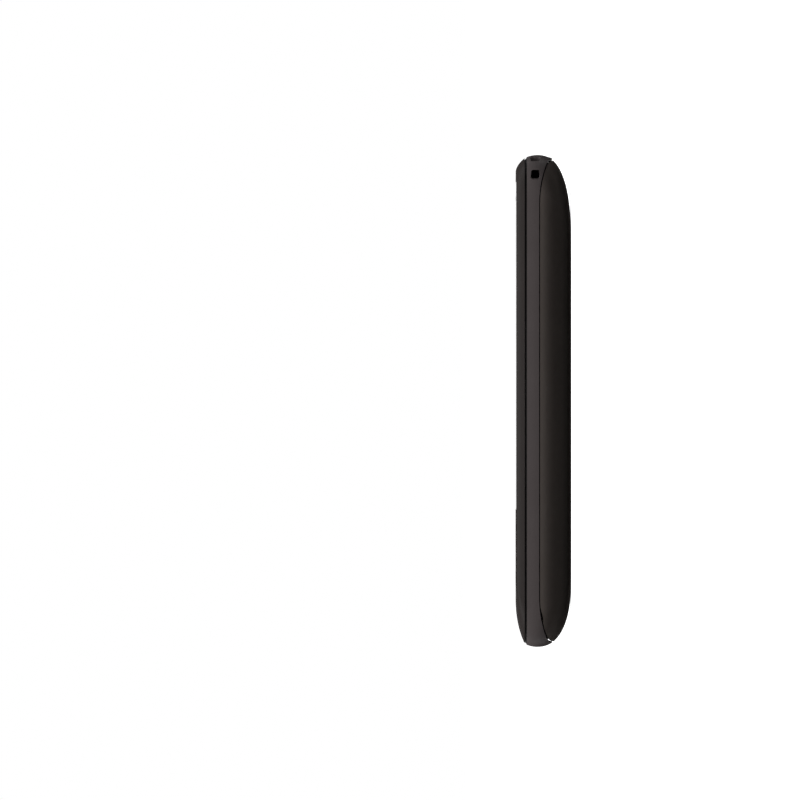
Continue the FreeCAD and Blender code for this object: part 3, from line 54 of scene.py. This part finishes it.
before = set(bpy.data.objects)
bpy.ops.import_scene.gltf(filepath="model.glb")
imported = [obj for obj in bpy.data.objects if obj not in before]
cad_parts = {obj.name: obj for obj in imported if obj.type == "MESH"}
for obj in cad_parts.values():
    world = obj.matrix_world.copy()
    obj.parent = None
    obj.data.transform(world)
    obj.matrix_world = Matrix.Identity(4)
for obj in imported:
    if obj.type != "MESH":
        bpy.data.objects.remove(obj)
cad_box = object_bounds()


# ---------------------------------------------------------------- colours and nodes
def linear(code):
    """An sRGB hex code as linear red, green, blue and alpha."""
    channels = np.array([int(code[i:i + 2], 16) for i in (1, 3, 5)]) / 255
    curved = ((channels + 0.055) / 1.055) ** 2.4
    return (*np.where(channels <= 0.04045, channels / 12.92, curved).tolist(), 1.0)


def add(tree, kind, inputs=None, **settings):
    """Adds one shader node with its settings, and sets or links each of its inputs."""
    made = tree.nodes.new("ShaderNode" + kind)
    for name, value in settings.items():
        setattr(made, name, value)
    for name, value in (inputs or {}).items():
        if isinstance(value, bpy.types.NodeSocket):
            tree.links.new(value, made.inputs[name])
        else:
            made.inputs[name].default_value = value
    return made


def new_material(name):
    """An empty material and its node tree."""
    made = bpy.data.materials.new(name)
    made.use_nodes = True
    made.node_tree.nodes.clear()
    return made, made.node_tree


def close(made, tree, shader):
    """Joins the shader to the material's output."""
    add(tree, "OutputMaterial", {"Surface": shader.outputs[0]})
    return made


# ---------------------------------------------------------------- finishes
def grain(tree, size, detail=3.0, stretch=(1, 1, 1)):
    """Noise on object coordinates whose blotches are about size millimetres wide."""
    place = add(tree, "TexCoord").outputs["Object"]
    if stretch != (1, 1, 1):
        place = add(tree, "Mapping", {"Vector": place, "Scale": stretch}).outputs["Vector"]
    return add(tree, "TexNoise", {"Vector": place, "Scale": 1 / (size * MM), "Detail": detail,
                                  "Roughness": 0.5}).outputs["Fac"]


def between(tree, pattern, low, high):
    """A number that runs from low to high as the pattern runs from 0.3 to 0.7, where most noise lies."""
    return add(tree, "MapRange", {"Value": pattern, "From Min": 0.3, "From Max": 0.7,
                                  "To Min": low, "To Max": high}).outputs["Result"]


def soft_step(tree, value, start, end):
    """A soft step: 0 while the value is below start, 1 from end on."""
    return add(tree, "MapRange", {"Value": value, "From Min": start, "From Max": end},
               interpolation_type="SMOOTHSTEP").outputs["Result"]


def two_tones(tree, size, colours):
    """The first colour drifting into the second in soft blotches about size millimetres wide."""
    share = between(tree, grain(tree, size), 0, 1)
    return add(tree, "Mix", {SHARE: share, COLOUR_A: linear(colours[0]), COLOUR_B: linear(colours[1])},
               data_type="RGBA").outputs[MIXED_COLOUR]


def grit(tree, size, roughness, depth, stretch=(1, 1, 1)):
    """Grit about size millimetres wide that stands depth millimetres high.

    The roughness wanders between its two values with it. The relief is given as a normal. Real grit is
    mostly finer than this: it is drawn as coarse as it needs to be to show.
    """
    fine = grain(tree, size, detail=2.0, stretch=stretch)
    relief = add(tree, "Bump", {"Height": fine, "Distance": depth * MM, "Strength": 1.0})
    return between(tree, fine, *roughness), relief.outputs["Normal"]


def softer_edge_on(tree, roughness):
    """Roughness that rises to 0.9 where the surface is seen nearly edge-on.

    Sprayed lacquer has a faint ripple, which breaks up what it mirrors at such angles.
    """
    starts, ends, dullest = 0.40, 0.78, 0.9
    edge_on = add(tree, "LayerWeight", {"Blend": 0.5}).outputs["Facing"]
    return add(tree, "Mix", {SHARE: soft_step(tree, edge_on, starts, ends), NUMBER_A: roughness,
                             NUMBER_B: dullest}).outputs[MIXED_NUMBER]


def plastic(name, colours, roughness, blotch=4.0, grit_size=0.5, depth=0.004, sprayed=False, **extra):
    """Moulded or sprayed finish: two near colours in soft blotches, and a fine even grit."""
    made, tree = new_material(name)
    sheen, relief = grit(tree, grit_size, roughness, depth)
    if sprayed:
        sheen = softer_edge_on(tree, sheen)
    return close(made, tree, add(tree, "BsdfPrincipled", {
        "Base Color": two_tones(tree, blotch, colours), "Roughness": sheen, "Normal": relief, **extra}))


def metal(name, colours, roughness, line=(1, 1, 1)):
    """Plated or rolled metal: two near colours, and grit that line draws out where it was rolled."""
    made, tree = new_material(name)
    blotch, grit_size, depth = 2.0, 0.35, 0.002
    sheen, relief = grit(tree, grit_size, roughness, depth, line)
    return close(made, tree, add(tree, "BsdfPrincipled", {
        "Base Color": two_tones(tree, blotch, colours), "Metallic": 1.0, "Roughness": sheen,
        "Normal": relief}))


# ---------------------------------------------------------------- materials
def outer_skin(tree):
    """1 on the outer SKIN_DEPTH of the phone, and 0 further in.

    reach = length(max(|place| - inner corner, 0)) is how far a point lies outside the rectangle through
    the middles of the outline's corners, and the skin is where it passes CORNER_RADIUS - SKIN_DEPTH.
    The height counts for nothing, because more than the phone's height is taken off it.
    """
    inner = [(cad_box[1][axis] - cad_box[0][axis]) / 2 - CORNER_RADIUS for axis in (0, 1)]
    beyond_height = 1.0
    place = add(tree, "TexCoord").outputs["Object"]
    away = add(tree, "VectorMath", {0: place}, operation="ABSOLUTE").outputs[0]
    off = add(tree, "VectorMath", {0: away, 1: (*inner, beyond_height)}, operation="SUBTRACT").outputs[0]
    corner = add(tree, "VectorMath", {0: off, 1: (0, 0, 0)}, operation="MAXIMUM").outputs[0]
    reach = add(tree, "VectorMath", {0: corner}, operation="LENGTH").outputs[1]
    return add(tree, "Math", {0: reach, 1: CORNER_RADIUS - SKIN_DEPTH}, operation="GREATER_THAN").outputs[0]


def band_lacquer():
    """Satin soft-touch lacquer on a moulded band: brown-grey, smooth, with a faint shine.

    It covers the outside only. More than 1.2 mm in from the outline the band is painted near-black and dull:
    painted shade for the recess under the slide.
    """
    made, tree = new_material("lacquered_band_with_painted_shade_inside")
    skin = outer_skin(tree)
    inner_roughness = 0.75
    coat = two_tones(tree, size=9.0, colours=("#514B4B", "#544E4E"))
    # Inside the skin the colour is painted near-black: painted shade for the recess under the slide.
    colour = add(tree, "Mix", {SHARE: skin, COLOUR_A: linear("#070606"), COLOUR_B: coat}, data_type="RGBA")
    sheen, relief = grit(tree, size=0.6, roughness=(0.34, 0.40), depth=0.0003)
    rough = add(tree, "Mix", {SHARE: skin, NUMBER_A: inner_roughness, NUMBER_B: softer_edge_on(tree, sheen)})
    return close(made, tree, add(tree, "BsdfPrincipled", {
        "Base Color": colour.outputs[MIXED_COLOUR], "Roughness": rough.outputs[MIXED_NUMBER],
        "Normal": relief, "Specular IOR Level": 0.05}))


def cover_lacquer():
    """A nearly matt soft-touch coat on the moulded ABS cover, which shows form and no glints."""
    return plastic("soft_touch_lacquer_on_abs_cover", ("#5F5854", "#635C58"), (0.50, 0.58), blotch=11.0,
                   grit_size=0.6, depth=0.0003, sprayed=True, **{"Specular IOR Level": 0.02})


def front_lacquer():
    """Satin lacquer on the moulded ABS frame: a darker coat, smooth, with a faint shine."""
    return plastic("satin_lacquer_on_abs_frame", ("#262221", "#292524"), (0.30, 0.36), blotch=8.0,
                   grit_size=0.8, depth=0.0004, sprayed=True, **{"Specular IOR Level": 0.06})


def deck_plastic():
    """Moulded black polycarbonate with a spark-eroded grain: dull and even."""
    return plastic("moulded_black_polycarbonate", ("#060505", "#090808"), (0.60, 0.72), grit_size=0.35,
                   depth=0.006, IOR=1.3)


def window_glass():
    """Chemically hardened glass, printed black behind: smooth and black, with a cooler display area.

    A point is in the display area where |x - middle| < half, and the same along y.
    """
    made, tree = new_material("hardened_glass_with_black_print")
    place = add(tree, "TexCoord").outputs["Object"]
    axes = add(tree, "SeparateXYZ", {"Vector": place}).outputs
    low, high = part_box("display_panel")
    masks = []
    for axis, margin in enumerate(DISPLAY_MARGINS):
        middle = (low[axis] + high[axis]) / 2
        half = (high[axis] - low[axis]) / 2 - margin * MM
        off = add(tree, "Math", {0: axes[axis], 1: middle}, operation="SUBTRACT").outputs[0]
        size = add(tree, "Math", {0: off}, operation="ABSOLUTE").outputs[0]
        masks.append(add(tree, "Math", {0: size, 1: half}, operation="LESS_THAN").outputs[0])
    display = add(tree, "Math", {0: masks[0], 1: masks[1]}, operation="MULTIPLY").outputs[0]
    colour = add(tree, "Mix", {SHARE: display, COLOUR_A: linear("#050506"), COLOUR_B: linear("#14161B")},
                 data_type="RGBA").outputs[MIXED_COLOUR]
    smear = between(tree, grain(tree, 14.0), 0.03, 0.07)
    return close(made, tree, add(tree, "BsdfPrincipled", {"Base Color": colour, "Roughness": smear,
                                                          "Specular IOR Level": 0.25}))


def clear_lens():
    """Clear moulded polycarbonate: the reflector behind it shows through, a little bent."""
    made, tree = new_material("clear_polycarbonate")
    rough = between(tree, grain(tree, 1.5), 0.02, 0.06)
    return close(made, tree, add(tree, "BsdfPrincipled", {
        "Base Color": linear("#F4F6F7"), "Roughness": rough, "IOR": 1.58, "Transmission Weight": 1.0}))


def board_mask():
    """Green solder mask over copper: satin, with the lines of the tracks just showing."""
    made, tree = new_material("solder_mask_on_fibreglass")
    track_length, track_depth = 3.2, 0.01
    place = add(tree, "TexCoord").outputs["Object"]
    tracks = add(tree, "TexBrick", {"Vector": place, "Scale": 1 / (track_length * MM), "Mortar Size": 0.03,
                                    "Color1": linear("#0F4A22"), "Color2": linear("#0C3F1D"),
                                    "Mortar": linear("#1C6A35")}).outputs
    relief = add(tree, "Bump", {"Height": tracks["Fac"], "Distance": track_depth * MM, "Strength": 1.0})
    return close(made, tree, add(tree, "BsdfPrincipled", {
        "Base Color": tracks["Color"], "Roughness": 0.35, "Normal": relief.outputs["Normal"]}))


def woven_mesh():
    """Woven stainless mesh: dark openings between grey wires, drawn as coarse as they need to show."""
    made, tree = new_material("woven_stainless_mesh")
    weave = 0.7
    place = add(tree, "TexCoord").outputs["Object"]
    wires = add(tree, "TexBrick", {"Vector": place, "Scale": 1 / (weave * MM), "Mortar Size": 0.12,
                                   "Color1": linear("#050505"), "Color2": linear("#070707"),
                                   "Mortar": linear("#6E6E6C")}, offset=0.0)
    return close(made, tree, add(tree, "BsdfPrincipled", {
        "Base Color": wires.outputs["Color"], "Metallic": 1.0, "Roughness": 0.4}))


MATERIALS = {
    "band_paint": band_lacquer(),
    "cover_paint": cover_lacquer(),
    "front_paint": front_lacquer(),
    "deck_black": deck_plastic(),
    "board_green": board_mask(),
    "window_dark": window_glass(),
    "lens_clear": clear_lens(),
    "mesh_steel": woven_mesh(),
    # Polyester film over snap domes: milky, slightly shiny.
    "dome_film": plastic("polyester_film", ("#C9C8C2", "#D2D1CC"), (0.25, 0.35)),
    # Tinned steel sheet: bright grey with faint rolling lines.
    "tinned_steel": metal("tinned_steel_sheet", ("#A9A8A4", "#B7B6B2"), (0.28, 0.40), line=(1, 0.08, 1)),
    # Printed polyester sleeve round the cell: near black, with a low shine.
    "battery_wrap": plastic("polyester_battery_sleeve", ("#19191B", "#1F1F21"), (0.30, 0.40)),
    # Moulded nylon of the small parts: black, even and dull.
    "inner_black": plastic("moulded_black_nylon", ("#0B0B0B", "#101010"), (0.45, 0.60)),
    # Nickel plate on drawn steel: near white, nearly a mirror.
    "port_steel": metal("nickel_plated_steel", ("#D8D7D4", "#E4E3E1"), (0.16, 0.24)),
    # Moulded nylon filled with glass: dark grey, with a low sheen.
    "tongue_grey": plastic("moulded_grey_nylon", ("#2E2E2D", "#343433"), (0.40, 0.50)),
    # Hard gold plate: warm yellow, smooth.
    "contact_gold": metal("hard_gold_plate", ("#E8B93A", "#F0C652"), (0.18, 0.28)),
    # Aluminium vapour on polycarbonate: a bright mirror.
    "reflector_silver": metal("vapour_coated_aluminium", ("#D9D9D8", "#E6E6E5"), (0.10, 0.18)),
    # Phosphor cast in silicone: pale yellow and soft.
    "led_yellow": plastic("phosphor_in_silicone", ("#E9D36A", "#F0DD83"), (0.35, 0.45)),
    # Zinc plate on cold-headed steel: a middle grey, satin.
    "screw_steel": metal("zinc_plated_steel", ("#7C7B78", "#8B8A87"), (0.30, 0.42)),
    # Rolled spring steel: a warm grey with fine lines along the strip.
    "rail_steel": metal("rolled_spring_steel", ("#85847F", "#93928E"), (0.26, 0.38), line=(1, 0.05, 1)),
    # Moulded silicone rubber: black, with hardly any shine.
    "buffer_rubber": plastic("moulded_silicone_rubber", ("#0D0D0D", "#121212"), (0.60, 0.75)),
    # Polyimide film: amber, with copper under it.
    "flex_amber": plastic("polyimide_film", ("#8A4A12", "#9A5A1C"), (0.25, 0.35)),
    # Moulded acetal: milk white and waxy.
    "runner_white": plastic("moulded_acetal", ("#D2D1C9", "#DBDAD3"), (0.35, 0.45)),
    # Black electrophoretic paint on steel sheet: thin, even and dull.
    "sheet_black": plastic("black_dip_paint_on_steel", ("#0B0A09", "#0F0E0D"), (0.50, 0.62)),
    # Polarising film on a display module: blue-black and glossy.
    "panel_dark": plastic("display_module_polariser", ("#101217", "#14161B"), (0.10, 0.16)),
    # Tinted lacquer under a hard coat: dark grey, satin.
    "front_key_grey": plastic("satin_lacquer_on_polycarbonate", ("#2B2929", "#2F2D2D"), (0.36, 0.44),
                              **{"Specular IOR Level": 0.15}),
    # Hard-coated polycarbonate: black, smooth under the thumb, with a low shine.
    "number_key_black": plastic("hard_coated_polycarbonate", ("#141414", "#181818"), (0.30, 0.38),
                                **{"Specular IOR Level": 0.2}),
}

# A CAD node comes with materials that are named for its slots.
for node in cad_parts.values():
    for holder in node.material_slots:
        holder.material = MATERIALS[holder.material.name.split(".")[0]]


# ---------------------------------------------------------------- marks on the keys
# The ink's underside lies INK_SUNK below a key's face and its top INK_PROUD above it. Millimetres, as are
# all the measures of the marks.
INK_SUNK = 0.001
INK_PROUD = 0.009
CAPITAL_SHARE = 0.7           # a capital's height over its font's size


def lettering(name, text, height, centre, body, material):
    """A line of plain lettering as a thin printed mesh, its capitals height millimetres high."""
    curve = bpy.data.curves.new(name, "FONT")
    curve.body = text
    curve.align_x = "CENTER"
    curve.align_y = "CENTER"
    curve.size = height * MM / CAPITAL_SHARE
    curve.extrude = (INK_PROUD + INK_SUNK) / 2 * MM
    loose = bpy.data.objects.new(name + "_line", curve)
    bpy.context.scene.collection.objects.link(loose)
    bpy.context.view_layer.update()
    mesh = bpy.data.meshes.new_from_object(loose)
    bpy.data.objects.remove(loose)
    mesh.transform(Matrix.Translation(centre))
    mesh.materials.clear()
    mesh.materials.append(material)
    piece = bpy.data.objects.new(name, mesh)
    bpy.context.scene.collection.objects.link(piece)
    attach(piece, body)


def printed_mark(name, grid, key, place, material):
    """A closed slab of ink over a grid of points in millimetres about a place on a key.

    The grid is laid at two heights, and a wall of four-sided faces joins the rims of the two.
    """
    low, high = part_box(key)
    middle = (low + high) / 2
    across, along = grid.shape[:2]
    flat = grid.reshape(-1, 2) * MM + np.array(middle[:2]) + np.array(place) * MM
    levels = high[2] - INK_SUNK * MM, high[2] + INK_PROUD * MM
    points = np.vstack([np.column_stack([flat, np.full(len(flat), level)]) for level in levels])
    number = np.arange(across * along).reshape(across, along)
    under = np.stack([number[:-1, :-1], number[:-1, 1:], number[1:, 1:], number[1:, :-1]], -1).reshape(-1, 4)
    rim = np.concatenate([number[:, 0], number[-1, 1:], number[-2::-1, -1], number[0, -2:0:-1]])
    after = np.roll(rim, -1)
    walls = np.stack([rim, after, after + len(flat), rim + len(flat)], -1)
    faces = np.vstack([under, under[:, ::-1] + len(flat), walls])
    mesh = bpy.data.meshes.new(name)
    mesh.from_pydata(points.tolist(), [], faces.tolist())
    mesh.materials.append(material)
    piece = bpy.data.objects.new(name, mesh)
    bpy.context.scene.collection.objects.link(piece)
    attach(piece, key)


def turned(x, y, degrees):
    """The grid of points x, y turned anticlockwise about its centre."""
    angle = math.radians(degrees)
    return np.dstack([x * math.cos(angle) - y * math.sin(angle), x * math.sin(angle) + y * math.cos(angle)])


def span(count):
    """A grid of count by 3 points whose u runs from -1 to 1 and whose v runs from 0 to 1."""
    return np.meshgrid(np.linspace(-1, 1, count), np.linspace(0, 1, 3), indexing="ij")


def dash(length, width):
    """x = length u / 2, y = width (v - 1/2) times the square root of 1 - 0.98 u to the 8th.

    The root is nearly 1 along the dash and falls off at its ends, which makes them round.
    """
    u, v = span(25)
    taper = np.sqrt(1 - 0.98 * u ** 8)
    return turned(length * u / 2, width * (v - 0.5) * taper, 0)


def chevron(size, width, degrees):
    """x = size u, y = -0.7 size |u| + width v: a bent stroke that points up before it is turned."""
    u, v = span(9)
    return turned(size * u, -0.7 * size * np.abs(u) + width * v, degrees)


def handset(degrees):
    """A receiver: an arc whose radius runs from inner(u) at v = 0 to outer at v = 1.

    inner(u) is grip in the middle and drops softly by lobe as |u| passes from 0.5 to 0.72, which makes
    the ear and mouth pieces.
    """
    outer, grip, lobe, half_arc, centre_drop = 1.7, 1.3, 0.55, 62, 1.1
    u, v = span(41)
    step = np.clip((np.abs(u) - 0.5) / 0.22, 0, 1)
    inner = grip - lobe * step ** 2 * (3 - 2 * step)
    radius = inner + v * (outer - inner)
    angle = u * math.radians(half_arc)
    return turned(radius * np.sin(angle), radius * np.cos(angle) - centre_drop, degrees)


def ink(name, colours):
    """Screen-printed ink: a thin even film, a little rough."""
    return plastic(name, colours, (0.40, 0.50), grit_size=0.3, depth=0.001)


INK = ink("screen_printed_ink", ("#C8C8C4", "#D0D0CC"))
GREEN_INK = ink("green_screen_printed_ink", ("#3E9A52", "#45A35A"))
RED_INK = ink("red_screen_printed_ink", ("#B53A34", "#BE433C"))

KEY_WORDS = {"key_1": ("1", ""), "key_2": ("2", "abc"), "key_3": ("3", "def"), "key_4": ("4", "ghi"),
             "key_5": ("5", "jkl"), "key_6": ("6", "mno"), "key_7": ("7", "pqrs"), "key_8": ("8", "tuv"),
             "key_9": ("9", "wxyz"), "key_star": ("*", ""), "key_0": ("0", ""), "key_hash": ("#", "")}
FIGURE_HEIGHT = 2.9
FIGURE_SHIFT = 2.6            # to the left, on a key that has letters too
LETTERS_HEIGHT = 1.5
LETTERS_SHIFT = 2.2           # to the right
LETTERS_DROP = 0.1
for key, (figure, letters) in KEY_WORDS.items():
    low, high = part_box(key)
    middle = (low + high) / 2
    ink_height = high[2] + (INK_PROUD - INK_SUNK) / 2 * MM
    shift = FIGURE_SHIFT * MM if letters else 0
    lettering(key + "_figure", figure, FIGURE_HEIGHT, (middle[0] - shift, middle[1], ink_height), key,
              INK)
    if letters:
        centre = (middle[0] + LETTERS_SHIFT * MM, middle[1] - LETTERS_DROP * MM, ink_height)
        lettering(key + "_letters", letters, LETTERS_HEIGHT, centre, key, INK)

DASH = {"length": 3.6, "width": 0.42}
CHEVRON = {"size": 0.75, "width": 0.36}
CHEVRON_REACH = 5.4           # from the navigation key's middle
for key in ("left_soft_key", "right_soft_key"):
    printed_mark(key + "_dash", dash(**DASH), key, (0, 0), INK)
printed_mark("call_key_handset", handset(135), "call_key", (0, 0), GREEN_INK)
printed_mark("end_key_handset", handset(0), "end_key", (0, 0), RED_INK)
for way, turn, (x, y) in (("up", 0, (0, 1)), ("left", 90, (-1, 0)), ("down", 180, (0, -1)),
                          ("right", 270, (1, 0))):
    printed_mark("navigation_" + way, chevron(degrees=turn, **CHEVRON), "navigation_key",
                 (x * CHEVRON_REACH, y * CHEVRON_REACH), INK)


# ---------------------------------------------------------------- floor, light and camera
def seen_directly(tree):
    """1 for what the eye, a reflection or a look through glass meets, 0 for bounced light."""
    path = add(tree, "LightPath").outputs
    seen = add(tree, "Math", {0: path["Is Camera Ray"], 1: path["Is Glossy Ray"]},
               operation="MAXIMUM").outputs[0]
    return add(tree, "Math", {0: seen, 1: path["Is Transmission Ray"]}, operation="MAXIMUM").outputs[0]


def make_floor():
    """A plain pale floor: white to the eye and in reflections, dim to bounced light.

    Part of the white shines by itself, so that it stays even into the distance, and the rest of it
    is lit, so that the object keeps its shadow.
    """
    reach = 12.0
    glow_strength = 0.75
    gap = 0.02 * MM
    made, tree = new_material("matt_white_floor")
    seen = seen_directly(tree)
    colour = add(tree, "Mix", {SHARE: seen, COLOUR_A: linear("#404040"), COLOUR_B: linear("#E6E6E6")},
                 data_type="RGBA").outputs[MIXED_COLOUR]
    paint = add(tree, "BsdfDiffuse", {"Color": colour})
    glow = add(tree, "Emission", {"Color": linear("#FFFFFF"), "Strength": glow_strength})
    lit = add(tree, "AddShader", {0: paint.outputs[0], 1: glow.outputs[0]})
    close(made, tree, add(tree, "MixShader", {0: seen, 1: paint.outputs[0], 2: lit.outputs[0]}))
    mesh = bpy.data.meshes.new("floor")
    corners = np.array([(-1, -1, 0), (1, -1, 0), (1, 1, 0), (-1, 1, 0)]) * reach
    mesh.from_pydata(corners.tolist(), [], [(0, 1, 2, 3)])
    mesh.materials.append(made)
    floor = bpy.data.objects.new("floor", mesh)
    floor.location.z = cad_box[0][2] - gap
    bpy.context.scene.collection.objects.link(floor)


def make_world():
    """A pale studio: white to the eye, to gloss and through glass, and a soft sky for the light.

    The sky is brightest overhead and falls off towards the horizon.
    """
    dimmest, gain, full_height = 0.2, 0.3, 0.7
    world = bpy.data.worlds.new("studio")
    world.use_nodes = True
    tree = world.node_tree
    tree.nodes.clear()
    way = add(tree, "TexCoord").outputs["Generated"]
    height = add(tree, "SeparateXYZ", {"Vector": way}).outputs[2]
    overhead = add(tree, "Math", {0: soft_step(tree, height, 0.0, full_height), 1: gain, 2: dimmest},
                   operation="MULTIPLY_ADD").outputs[0]
    sky = add(tree, "Background", {"Color": linear("#FFFFFF"), "Strength": overhead})
    back = add(tree, "Background", {"Color": linear("#FFFFFF"), "Strength": 1.0})
    mix = add(tree, "MixShader", {0: seen_directly(tree), 1: sky.outputs[0], 2: back.outputs[0]})
    add(tree, "OutputWorld", {"Surface": mix.outputs[0]})
    bpy.context.scene.world = world


def make_lamp(name, place, size, power):
    """A square soft lamp that faces the phone's middle and leaves no glint in its gloss."""
    phone_middle = Vector((0, 0, 0.007))
    data = bpy.data.lights.new(name, "AREA")
    data.size = size
    data.energy = power
    lamp = bpy.data.objects.new(name, data)
    lamp.visible_glossy = False
    lamp.location = place
    lamp.rotation_mode = "QUATERNION"
    lamp.rotation_quaternion = (phone_middle - lamp.location).to_track_quat("-Z", "Y")
    bpy.context.scene.collection.objects.link(lamp)


def make_camera():
    """A long lens level with the phone, on its right-hand side, rolled so that the torch end is up.

    The view is view_width across in the plane that lies near_side to the right of the phone's middle.
    """
    lens = 1400.0
    sensor = 36.0
    view_width = 195.2 * MM
    near_side = 15 * MM
    along, height = 0.232 * MM, 41.73 * MM
    data = bpy.data.cameras.new("camera")
    data.lens = lens
    data.sensor_width = sensor
    data.clip_end = 60.0
    camera = bpy.data.objects.new("camera", data)
    right, up, back = (0, 0, -1), (0, 1, 0), (1, 0, 0)
    turn = Matrix((right, up, back)).transposed().to_4x4()
    distance = view_width * lens / sensor + near_side
    camera.matrix_world = Matrix.Translation((distance, along, height)) @ turn
    bpy.context.scene.collection.objects.link(camera)
    bpy.context.scene.camera = camera


make_floor()
make_world()
make_lamp("key_softbox", (0.75, -0.1, 1.3), size=0.6, power=17.0)
make_lamp("fill_softbox", (-1.3, -0.8, 1.1), size=1.0, power=10.0)
make_camera()
bpy.context.scene.view_settings.view_transform = "Standard"
